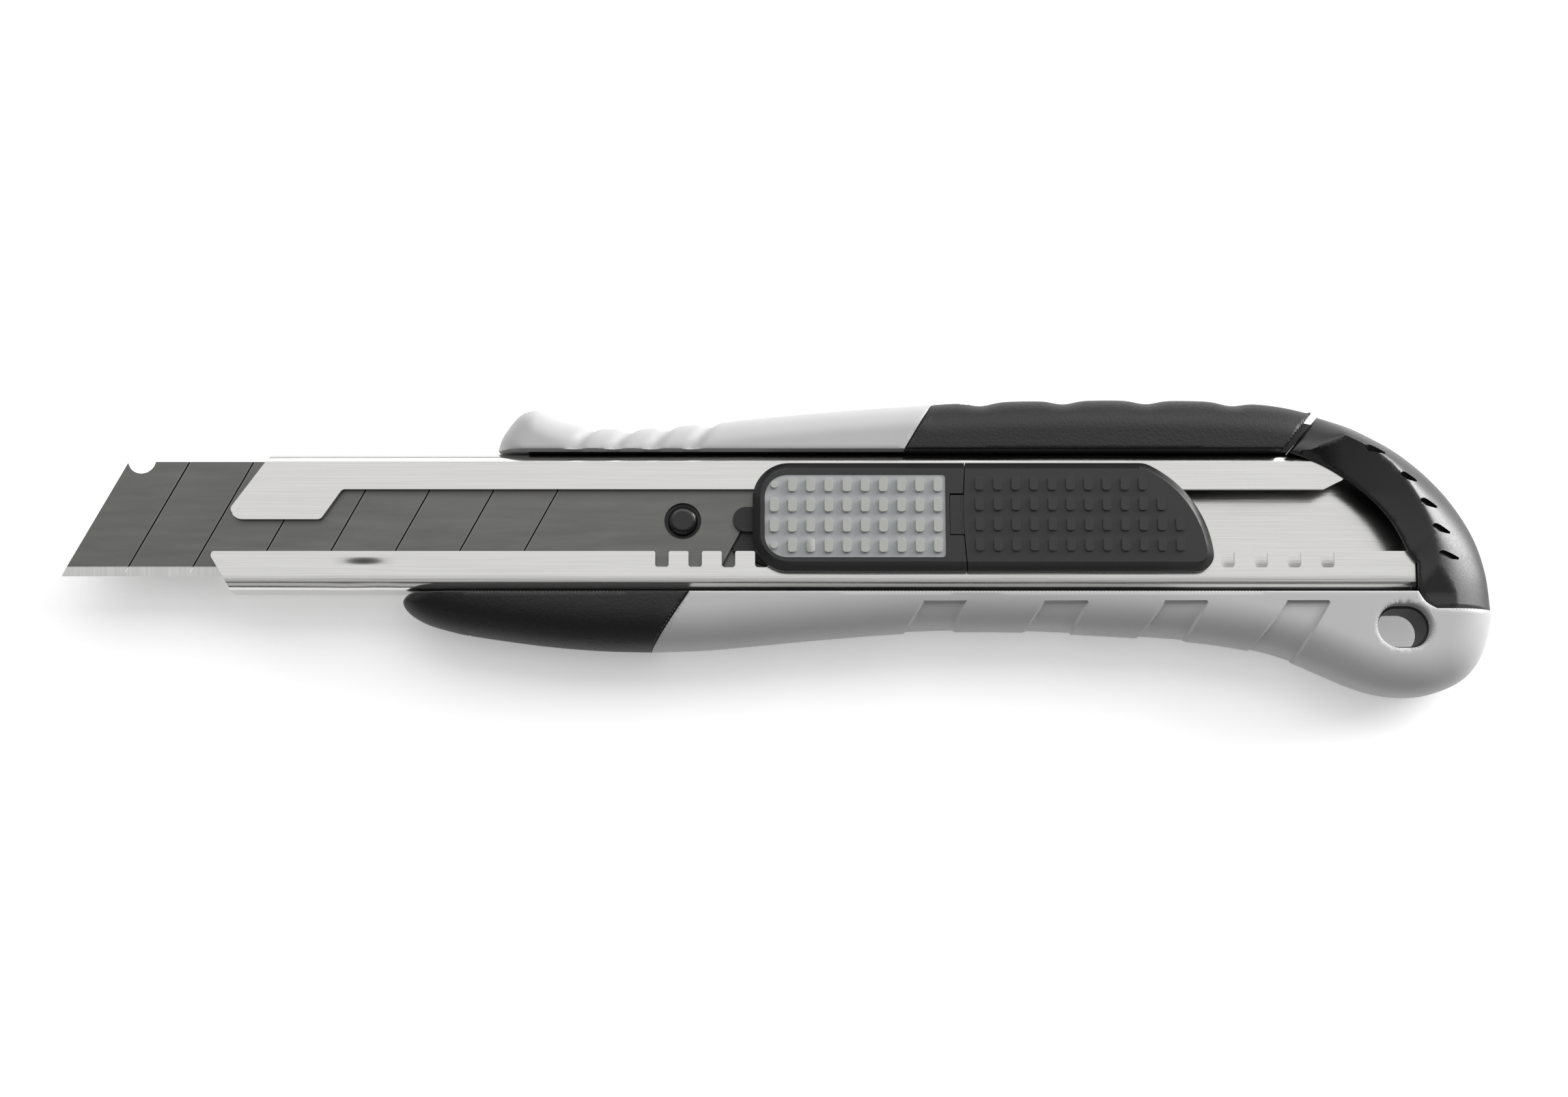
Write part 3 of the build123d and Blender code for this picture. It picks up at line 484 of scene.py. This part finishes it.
# ---- Moulded pieces --------------------------------------------------------------
class Moulding:
    """A closed moulded body on a plan outline, rounded over at its free edges.

    The outline is a list of (kind, points): "round" stretches are free edges that
    roll over from the front to the back, "seam" stretches end in a wall.
    """

    STEP = 0.45  # between the points of the mesh
    TOUCH = 1e-4
    MERGE = 1e-5
    SHOULDER_RINGS = (0.05, 0.18, 0.42, 0.75)  # distances from a free edge
    SEAM_RINGS = (0.12, 0.35, 0.65, 1.0)  # distances from a seam, over its radius
    RING_CLEARANCE = 0.9
    GRID_FROM_FREE = 1.3 * SHOULDER_RINGS[-1]
    GRID_FROM_SEAM = 1.5  # over the seam's radius
    CREASE_FROM_EDGE = 0.1
    CREASE_CLEARANCE = 0.55 * STEP
    BACK_SHOULDER = 4.0
    BACK_POWER = 2.5

    def __init__(self, outline, shoulder=7.0, power=2.2, seam_radius=0.3, hole=None, creases=()):
        self.shoulder = shoulder
        self.power = power
        self.seam_radius = seam_radius
        self.hole = hole
        stretches = [(kind, curve_through(points, self.STEP)) for kind, points in outline]
        self.loop = [point for _, points in stretches for point in points[:-1]]
        self.rounds = [Route(points) for kind, points in stretches if kind == "round"]
        self.seams = [Route(points) for kind, points in stretches if kind == "seam"]
        if hole:
            self.seams.append(Route(hole))
        self.creases = creases

    def free(self, x, y):
        """Distance to the nearest free edge."""
        return min(route.distance(x, y) for route in self.rounds)

    def walled(self, x, y):
        """Distance to the nearest seam."""
        return min(route.distance(x, y) for route in self.seams)

    def edge(self, x, y):
        """Distance to the nearest edge of either kind."""
        return min(self.free(x, y), self.walled(x, y))

    def rings(self):
        """Points set inwards from the outline, close together where it curves over."""
        points = []
        loops = [(route, self.SHOULDER_RINGS, 1.0) for route in self.rounds]
        loops += [(route, self.SEAM_RINGS, self.seam_radius) for route in self.seams]
        for route, shares, width in loops:
            for (x0, y0), (x1, y1) in zip(route.points, route.points[1:]):
                length = math.dist((x0, y0), (x1, y1))
                normal = ((y0 - y1) / length, (x1 - x0) / length)
                for share in shares:
                    for side in (1, -1):
                        x = (x0 + x1) / 2 + normal[0] * share * width * side
                        y = (y0 + y1) / 2 + normal[1] * share * width * side
                        clear = self.edge(x, y) > share * width * self.RING_CLEARANCE
                        if clear and self.solid_at(x, y):
                            points.append((x, y))
        return points

    def solid_at(self, x, y):
        """Whether the piece has material at a point of its plan."""
        return inside(self.loop, x, y) and not (self.hole and inside(self.hole[:-1], x, y))

    def triangles(self):
        """Plan triangulation: its points and triangles."""
        points = list(self.loop)
        count = len(points)
        edges = [(index, (index + 1) % count) for index in range(count)]
        if self.hole:
            first = len(points)
            points += self.hole[:-1]
            size = len(self.hole) - 1
            edges += [(first + index, first + (index + 1) % size) for index in range(size)]
        lines = []
        for crease in self.creases:
            kept = [self.solid_at(x, y) and self.edge(x, y) > self.CREASE_FROM_EDGE for x, y in crease]
            for index, point in enumerate(crease):
                if kept[index]:
                    if index and kept[index - 1]:
                        edges.append((len(points) - 1, len(points)))
                    points.append(point)
                    lines.append(point)
        clear_of_lines = Route(lines).tree if lines else None
        for x, y in self.rings() + self.grid():
            if clear_of_lines and clear_of_lines.find((x, y, 0.0))[2] < self.CREASE_CLEARANCE:
                continue
            points.append((x, y))
        corners = [Vector(point) for point in points]
        flat, _, faces, *_ = delaunay_2d_cdt(corners, edges, [], 1, self.MERGE)
        if self.hole:
            faces = [face for face in faces if not self.in_hole(flat, face)]
        return flat, faces

    def in_hole(self, flat, face):
        """Whether the middle of a triangle lies in the hole."""
        middle = sum((flat[index] for index in face), Vector((0.0, 0.0))) / 3
        return inside(self.hole[:-1], middle.x, middle.y)

    def grid(self):
        """Evenly spread points over the middle of the plan."""
        points = []
        for x, y in grid_inside(self.loop, self.STEP):
            if self.free(x, y) < self.GRID_FROM_FREE:
                continue
            if self.walled(x, y) < self.seam_radius * self.GRID_FROM_SEAM:
                continue
            if self.hole and inside(self.hole[:-1], x, y):
                continue
            points.append((x, y))
        return points

    def front(self, x, y, free):
        """Front surface before the seams are rounded."""
        return MIDDLE_Z + (FRONT_Z - MIDDLE_Z) * rounded_rise(free, self.shoulder, self.power)

    def back(self, x, y, free):
        """Back surface before the seams are rounded."""
        return MIDDLE_Z - (MIDDLE_Z - BACK_Z) * rounded_rise(free, self.BACK_SHOULDER, self.BACK_POWER)

    def carve(self, x, y, z, free):
        """Depth to press in along the surface's normal."""
        return 0.0

    def build(self, name, node, slot):
        """The finished piece, which stands for its CAD node."""
        flat, faces = self.triangles()
        mesh = bpy.data.meshes.new(name)
        work = bmesh.new()
        fronts, backs, depths, upright = [], [], {}, {}
        for x, y in flat:
            free, walled = self.free(x, y), self.walled(x, y)
            if free < self.TOUCH:
                vertex = work.verts.new((x, y, MIDDLE_Z))
                fronts.append(vertex)
                backs.append(vertex)
            else:
                inset = clamp(1.0 - walled / self.seam_radius)
                drop = self.seam_radius * (1.0 - math.sqrt(1.0 - inset**2))
                fronts.append(work.verts.new((x, y, self.front(x, y, free) - drop)))
                backs.append(work.verts.new((x, y, self.back(x, y, free) + drop)))
            for vertex in (fronts[-1], backs[-1]):
                depths[vertex] = self.carve(x, y, vertex.co.z, free)
                upright[vertex] = clamp(walled / self.seam_radius - 1.0)
        border = {}
        for a, b, c in faces:
            work.faces.new((fronts[a], fronts[b], fronts[c]))
            work.faces.new((backs[c], backs[b], backs[a]))
            for edge in ((a, b), (b, c), (c, a)):
                if edge[::-1] in border:
                    del border[edge[::-1]]
                else:
                    border[edge] = True
        for a, b in border:
            corners = [backs[a], backs[b], fronts[b], fronts[a]]
            corners = list(dict.fromkeys(corners))
            if len(corners) > 2:
                work.faces.new(corners)
        loose = [vertex for vertex in work.verts if not vertex.link_faces]
        for vertex in loose:
            del depths[vertex]
        bmesh.ops.delete(work, geom=loose, context="VERTS")
        work.normal_update()
        moves = []
        for vertex, depth in depths.items():
            sideways = upright[vertex]
            direction = vertex.normal * Vector((sideways, sideways, 1.0))
            moves.append((vertex, direction * depth))
        for vertex, move in moves:
            vertex.co -= move
        for vertex in work.verts:
            vertex.co *= MM
        work.to_mesh(mesh)
        work.free()
        return finish_piece(name, mesh, node, slot)


SHARP_ANGLE = math.radians(50)


def finish_piece(name, mesh, node, slot):
    """Shade a mesh, give it its material and put it in the place of its CAD node."""
    mesh.shade_smooth()
    mesh.set_sharp_from_angle(angle=SHARP_ANGLE)
    mesh.materials.append(MATERIALS[slot])
    piece = bpy.data.objects.new(name, mesh)
    bpy.context.scene.collection.objects.link(piece)
    body = next(key for key, names in frame["record"]["behaviour"]["bodies"].items() if node in names)
    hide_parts(node)
    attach(piece, body)
    return piece


# ---- Thumb rest: four soft valleys under the thumb -------------------------------
SPLIT_TOP = ((19.6, UPPER_SEAM_Y), (24.25, 22.6))
SPLIT_GAP = 0.12
VALLEYS = (((-28.5, 18.9), (-30.9, 15.4)), ((-22.7, 18.7), (-24.9, 15.3)),
           ((-16.9, 18.9), (-19.1, 15.3)), ((-10.3, 19.6), (-12.9, 15.2)))


class ThumbRest(Moulding):
    DEPTH = 0.66
    HALF_WIDTH = 0.9

    def __init__(self):
        crest = [(-43.4, 15.4), (-43.0, 16.9), (-41.8, 18.9), (-40.4, 20.6), (-39.1, 21.4),
                 (-37.6, 21.7), (-36.0, 21.3), (-33.3, 20.1), (-31.0, 19.35), (-28.6, 19.0),
                 (-24.4, 18.75), (-20.0, 18.85), (-14.6, 19.3), (-8.5, 19.8), (-3.0, 20.45),
                 (11.9, 21.8), SPLIT_TOP[1]]
        outline = [
            ("round", crest),
            ("seam", [SPLIT_TOP[1], SPLIT_TOP[0]]),
            ("seam", [SPLIT_TOP[0], (-42.7, UPPER_SEAM_Y)]),
            ("seam", [(-42.7, UPPER_SEAM_Y), (-43.2, 14.85), crest[0]]),
        ]
        super().__init__(outline, shoulder=4.6, power=2.1, seam_radius=0.16)
        self.valleys = []
        for (x1, y1), (x0, y0) in VALLEYS:
            slope = (x1 - x0) / (y1 - y0)
            self.valleys.append(Route([(x0 - 4 * slope, y0 - 4), (x1 + 4 * slope, y1 + 4)]))

    def carve(self, x, y, z, free):
        depth = 0.0
        for valley in self.valleys:
            depth += self.DEPTH * math.exp(-(valley.distance(x, y) / self.HALF_WIDTH) ** 2)
        return depth * fade_to_back(z)


# ---- Top grip: flat band by the seam, scalloped crest ----------------------------
class TopGrip(Moulding):
    SCALLOPS = (31.7, 44.6, 57.5, 70.8)
    SCALLOP_DEPTH = 0.62
    SCALLOP_WIDTH = 2.3
    SCALLOP_REACH = 3.2

    def __init__(self):
        outline = [
            ("round", [(24.25 + SPLIT_GAP, 22.65), (30.0, 23.0), (41.0, 23.3), (52.0, 23.4),
                       (61.0, 23.35), (68.0, 23.2), (74.5, 22.8), (79.0, 22.2), (82.6, 21.35)]),
            ("seam", [(82.6, 21.35), (83.15, 21.1), (82.95, 20.7)]),
            ("seam", [(82.95, 20.7), (78.05, UPPER_SEAM_Y)]),
            ("seam", [(78.05, UPPER_SEAM_Y), (SPLIT_TOP[0][0] + SPLIT_GAP, UPPER_SEAM_Y)]),
            ("seam", [(SPLIT_TOP[0][0] + SPLIT_GAP, UPPER_SEAM_Y), (24.25 + SPLIT_GAP, 22.65)]),
        ]
        super().__init__(outline, shoulder=5.6, power=2.0)

    def carve(self, x, y, z, free):
        depth = sum(math.exp(-((x - middle) / self.SCALLOP_WIDTH) ** 2) for middle in self.SCALLOPS)
        return depth * self.SCALLOP_DEPTH * (1.0 - clamp(free / self.SCALLOP_REACH)) ** 1.5


# ---- Finger guard ----------------------------------------------------------------
SPLIT_LOW = ((-19.35, -16.25), (-13.5, LOWER_SEAM_Y))


def make_finger_guard():
    """Black soft grip below the channel, at the front."""
    outline = [
        ("round", [(-57.0, LOWER_SEAM_Y), (-57.65, -8.3), (-57.5, -9.3), (-56.2, -10.7), (-53.8, -12.0),
                   (-50.5, -13.0), (-46.7, -13.8), (-36.0, -15.3), (-27.0, -16.05), SPLIT_LOW[0]]),
        ("seam", [SPLIT_LOW[0], SPLIT_LOW[1]]),
        ("seam", [SPLIT_LOW[1], (-57.0, LOWER_SEAM_Y)]),
    ]
    return Moulding(outline, shoulder=7.2).build("finger_guard_skin", "finger_guard", "grip_black")


# ---- Lower grip: finger recesses, and the lanyard hole in its tail ---------------
class LowerGrip(Moulding):
    RECESS_TOP_Y = -9.0
    RECESS_DEPTH = 0.58
    RECESS_SHORTFALL = 0.3  # the recesses fade out before the back face
    WALLS = (0.42, 0.25, 0.32)  # widths of the left, top and right walls
    # x of the upper left corner and lean of the left side, then the same for the right side
    RECESSES = ((22.4, 0.68, 29.0, 0.42), (40.8, 0.69, 47.8, 0.54),
                (59.2, 0.74, 66.0, 0.57), (77.8, 0.75, 84.6, 0.60))
    HOLE_CENTRE = (95.6, -12.95)
    HOLE_SIZE = (8.3, 6.7)

    def __init__(self):
        underside = [
            (SPLIT_LOW[0][0] + SPLIT_GAP, SPLIT_LOW[0][1]), (-11.5, -16.0), (-4.4, -15.4), (6.0, -14.4),
            (18.0, -13.45), (27.0, -13.1), (37.0, -13.15), (46.0, -13.5), (55.0, -14.0), (62.0, -14.5),
            (68.0, -15.2), (74.0, -16.3), (79.0, -17.8), (83.5, -19.75), (87.5, -21.5), (91.5, -22.8),
            (95.7, -23.35), (99.6, -23.0), (103.6, -21.6), (106.2, -19.8), (108.0, -17.4),
            (109.2, -14.4), (109.9, -11.6), (110.1, -10.2),
        ]
        outline = [
            ("round", underside),
            ("seam", [underside[-1], (100.6, -10.2)]),
            ("seam", [(100.6, -10.2), (99.0, -9.2), (97.9, LOWER_SEAM_Y)]),
            ("seam", [(97.9, LOWER_SEAM_Y), (SPLIT_LOW[1][0] + SPLIT_GAP, LOWER_SEAM_Y)]),
            ("seam", [(SPLIT_LOW[1][0] + SPLIT_GAP, LOWER_SEAM_Y), underside[0]]),
        ]
        hole = oval(self.HOLE_CENTRE, self.HOLE_SIZE, self.STEP)
        creases = []
        for recess in self.RECESSES:
            creases += [self.recess_line(recess, 0.0), self.recess_line(recess, 1.0)]
        super().__init__(outline, shoulder=6.6, hole=hole, creases=creases)

    def recess_line(self, recess, share):
        """Three-sided line down both sides of a recess, part of the way across its walls."""
        left_x, left_lean, right_x, right_lean = recess
        left, top, right = (width * share for width in self.WALLS)
        high, low = self.RECESS_TOP_Y - top, -24.0
        drop = self.RECESS_TOP_Y - low
        left_shift = left * math.hypot(1.0, left_lean)
        right_shift = right * math.hypot(1.0, right_lean)
        return straight_through([
            (left_x - drop * left_lean + left_shift, low),
            (left_x - top * left_lean + left_shift, high),
            (right_x - top * right_lean - right_shift, high),
            (right_x - drop * right_lean - right_shift, low),
        ], self.STEP)

    def carve(self, x, y, z, free):
        drop = self.RECESS_TOP_Y - y
        depth = 0.0
        for left_x, left_lean, right_x, right_lean in self.RECESSES:
            left = (x - left_x + drop * left_lean) / math.hypot(1.0, left_lean)
            right = (right_x - drop * right_lean - x) / math.hypot(1.0, right_lean)
            inward = [clamp(reach / width) for reach, width in zip((left, drop, right), self.WALLS)]
            depth += self.RECESS_DEPTH * math.prod(inward)
        return depth * fade_to_back(z, self.RECESS_SHORTFALL)


# ---- End cap ---------------------------------------------------------------------
class EndCap(Moulding):
    RIDGE = [(82.2, 14.5), (84.6, 15.4), (86.8, 16.4), (87.6, 16.7), (88.5, 16.4), (90.8, 15.2),
             (93.4, 13.4), (95.7, 11.1), (97.9, 7.9), (99.4, 4.9), (100.4, 1.8), (100.9, -1.0),
             (101.0, -3.6), (101.0, -11.0)]
    APEX_Y = -3.6
    FACET_Y = -7.8
    FACET_FALL = 0.2  # down over across, on the facet under the apex
    INNER_Z = 9.35  # height of the inner edge where it meets the top grip
    INNER_CLIMB = 0.9  # and how much higher it is at its lower end
    CLIMB_START_Y = 8.0
    CLIMB_RUN = 14.0
    OUTER_POWER = 1.3
    SLOTS = (((90.9, 14.9), (93.8, 14.1)), ((96.1, 10.7), (98.6, 9.8)), ((99.0, 6.6), (101.6, 5.7)),
             ((100.7, 2.6), (103.4, 1.7)), ((101.5, -1.7), (104.6, -2.3)))
    SLOT_HALF = 0.6
    SLOT_DEPTH = 0.75
    SLOT_WALL = 0.16
    SLOT_STEP = 0.2
    SLOT_SPAN = 5.0

    def __init__(self):
        arc = [(96.9, -1.2), (95.9, 1.2), (94.0, 4.4), (91.1, 7.6), (87.4, 10.6), (84.3, 12.5),
               (81.4, 13.7), (79.2, 14.35)]
        rim = [(84.4, 20.75), (88.4, 19.4), (92.0, 17.75), (96.7, 15.0), (101.2, 11.2), (105.0, 6.7),
               (108.0, 1.4), (109.6, -4.2), (110.1, -10.0)]
        outline = [
            ("round", rim),
            ("seam", [rim[-1], (100.6, -10.0)]),
            ("seam", [(100.6, -10.0), (99.2, -9.0), (98.3, -7.2)]),
            ("seam", [(98.3, -7.2), (98.3, -3.0)]),
            ("seam", [(98.3, -3.0), arc[0]]),
            ("seam", arc),
            ("seam", [arc[-1], rim[0]]),
        ]
        self.ridge = Route(curve_through(self.RIDGE, self.STEP))
        self.inner = Route(curve_through([(98.3, -11.0), (98.3, -3.0), *arc], self.STEP))
        apex = (self.RIDGE[-1][0], self.APEX_Y)
        creases = [
            curve_through(self.RIDGE[:-1], self.STEP),
            straight_through([apex, (98.4, -6.6)], self.STEP),
            straight_through([apex, (105.6, self.FACET_Y), (109.8, self.FACET_Y)], self.STEP),
            straight_through([(98.5, self.FACET_Y), (105.4, self.FACET_Y)], self.STEP),
        ]
        self.slot_floors = []
        for slot in self.SLOTS:
            floor = self.slot_loop(slot, self.SLOT_WALL)
            self.slot_floors.append((floor, Route(floor)))
            creases += [self.slot_loop(slot, 0.0), floor]
        super().__init__(outline, seam_radius=0.3, creases=creases)

    def slot_loop(self, slot, inset):
        """Drop-shaped loop round a slot: round at its inner end, narrow at its outer end."""
        (x0, y0), (x1, y1) = slot
        length = math.dist(*slot)
        along = ((x1 - x0) / length, (y1 - y0) / length)
        half = self.SLOT_HALF - inset
        side = [(length - inset, 0.3 * half), (0.6 * length, 0.75 * half), (0.2 * length, half),
                (inset, 0.7 * half), (inset - 0.25, 0.0)]
        shape = side + [(reach, -width) for reach, width in reversed(side[:-1])] + side[:1]
        corners = [(x0 + along[0] * reach - along[1] * width, y0 + along[1] * reach + along[0] * width)
                   for reach, width in shape]
        return curve_through(corners, self.SLOT_STEP)

    def front(self, x, y, free):
        ridge, side = self.ridge.nearest(x, y)
        if side > 0:
            rise = rounded_rise(free / (free + ridge), 1.0, self.OUTER_POWER)
            z = MIDDLE_Z + (FRONT_Z - MIDDLE_Z) * rise
        else:
            inner = self.inner.distance(x, y)
            climbed = clamp((self.CLIMB_START_Y - y) / self.CLIMB_RUN)
            low_z = self.INNER_Z + self.INNER_CLIMB * climbed
            z = low_z + (FRONT_Z - low_z) * inner / (inner + ridge + self.TOUCH)
        facet_z = FRONT_Z - self.FACET_FALL * max(0.0, self.APEX_Y - max(y, self.FACET_Y))
        return min(z, facet_z)

    def carve(self, x, y, z, free):
        if z < MIDDLE_Z:
            return 0.0
        for floor, route in self.slot_floors:
            if math.dist(floor[0], (x, y)) < self.SLOT_SPAN:
                if inside(floor[:-1], x, y) or route.distance(x, y) < self.TOUCH:
                    return self.SLOT_DEPTH
        return 0.0


# Rooms inside the cap for the channel's lips, its floor and the core's plate, and the
# plug that fills the channel's tail: an outline, then the lowest and the highest level.
LIPS_ROOM = (
    ((60.0, -7.3), (98.3, -7.3), (98.3, 8.0), (88.6, 11.3), (88.6, 14.6), (60.0, 14.6)),
    3.0, 8.75,
)
FLOOR_ROOM = (((60.0, -7.3), (98.3, -7.3), (98.3, 8.3), (92.9, 14.6), (60.0, 14.6)), 2.4, 3.6)
BACK_ROOM = (((60.0, -12.0), (96.2, -12.0), (96.2, 10.8), (92.9, 14.6), (60.0, 14.6)), -5.0, 2.6)
PLUG = (((97.4, -6.0), (104.0, -6.0), (104.0, -0.5), (97.4, -0.5)), 3.6, 7.6)


def prism_object(name, outline, low_z, high_z):
    """Closed upright prism on an outline that runs anticlockwise."""
    count = len(outline)
    points = [(x * MM, y * MM, z * MM) for z in (low_z, high_z) for x, y in outline]
    sides = [(i, (i + 1) % count, count + (i + 1) % count, count + i) for i in range(count)]
    bottom = tuple(reversed(range(count)))
    top = tuple(range(count, 2 * count))
    mesh = bpy.data.meshes.new(name)
    mesh.from_pydata(points, [], [bottom, top, *sides])
    return bpy.data.objects.new(name, mesh)


def make_end_cap():
    """The cap's hood, hollowed for the channel's tail and filled again by its plug."""
    cap = EndCap().build("end_cap_hood", "end_cap", "cap_black")
    steps = [(room, "DIFFERENCE") for room in (LIPS_ROOM, FLOOR_ROOM, BACK_ROOM)]
    steps.append((PLUG, "UNION"))
    for shape, operation in steps:
        tool = prism_object("cap_tool", *shape)
        bpy.context.scene.collection.objects.link(tool)
        cut = cap.modifiers.new("cut", "BOOLEAN")
        cut.object = tool
        cut.operation = operation
        cut.solver = "EXACT"
        evaluated = cap.evaluated_get(bpy.context.evaluated_depsgraph_get())
        mesh = bpy.data.meshes.new_from_object(evaluated)
        cap.modifiers.clear()
        cap.data = mesh
        bpy.data.objects.remove(tool)
    return cap


# ---- CAD nodes that stay ---------------------------------------------------------
ROUNDED_EDGES = {"blade_channel": 0.1, "slider_body": 0.12, "slider_rear": 0.16, "slider_pad": 0.16,
                 "blade_carrier": 0.15, "lock_spring": 0.06}
WELD_DISTANCE = 0.001
FLATNESS = math.radians(1.0)
EDGE_ANGLE = math.radians(30.0)


def dress_cad_nodes():
    """Every CAD node that stays gets its material; some get small rounded edges."""
    slots = {row["node"]: row["material_slot"] for row in frame["record"]["subparts"]}
    for name, node in NODES.items():
        node.data.materials.clear()
        kind = "spare_steel" if name.startswith("spare_blade") else slots[name]
        node.data.materials.append(MATERIALS[kind])
        if name in ROUNDED_EDGES:
            merge = node.modifiers.new("merge", "WELD")
            merge.merge_threshold = WELD_DISTANCE * MM
            flat = node.modifiers.new("flat", "DECIMATE")
            flat.decimate_type = "DISSOLVE"
            flat.angle_limit = FLATNESS
            bevel = node.modifiers.new("bevel", "BEVEL")
            bevel.width = ROUNDED_EDGES[name] * MM
            bevel.segments = 2
            bevel.limit_method = "ANGLE"
            bevel.angle_limit = EDGE_ANGLE
            bevel.harden_normals = True


# ---- Making ----------------------------------------------------------------------
add_camera()
add_lights()
add_floor()
dress_cad_nodes()
ThumbRest().build("thumb_rest_skin", "thumb_rest", "grip_grey")
TopGrip().build("top_grip_skin", "top_grip", "grip_black")
make_finger_guard()
LowerGrip().build("lower_grip_skin", "lower_grip", "grip_grey")
make_end_cap()
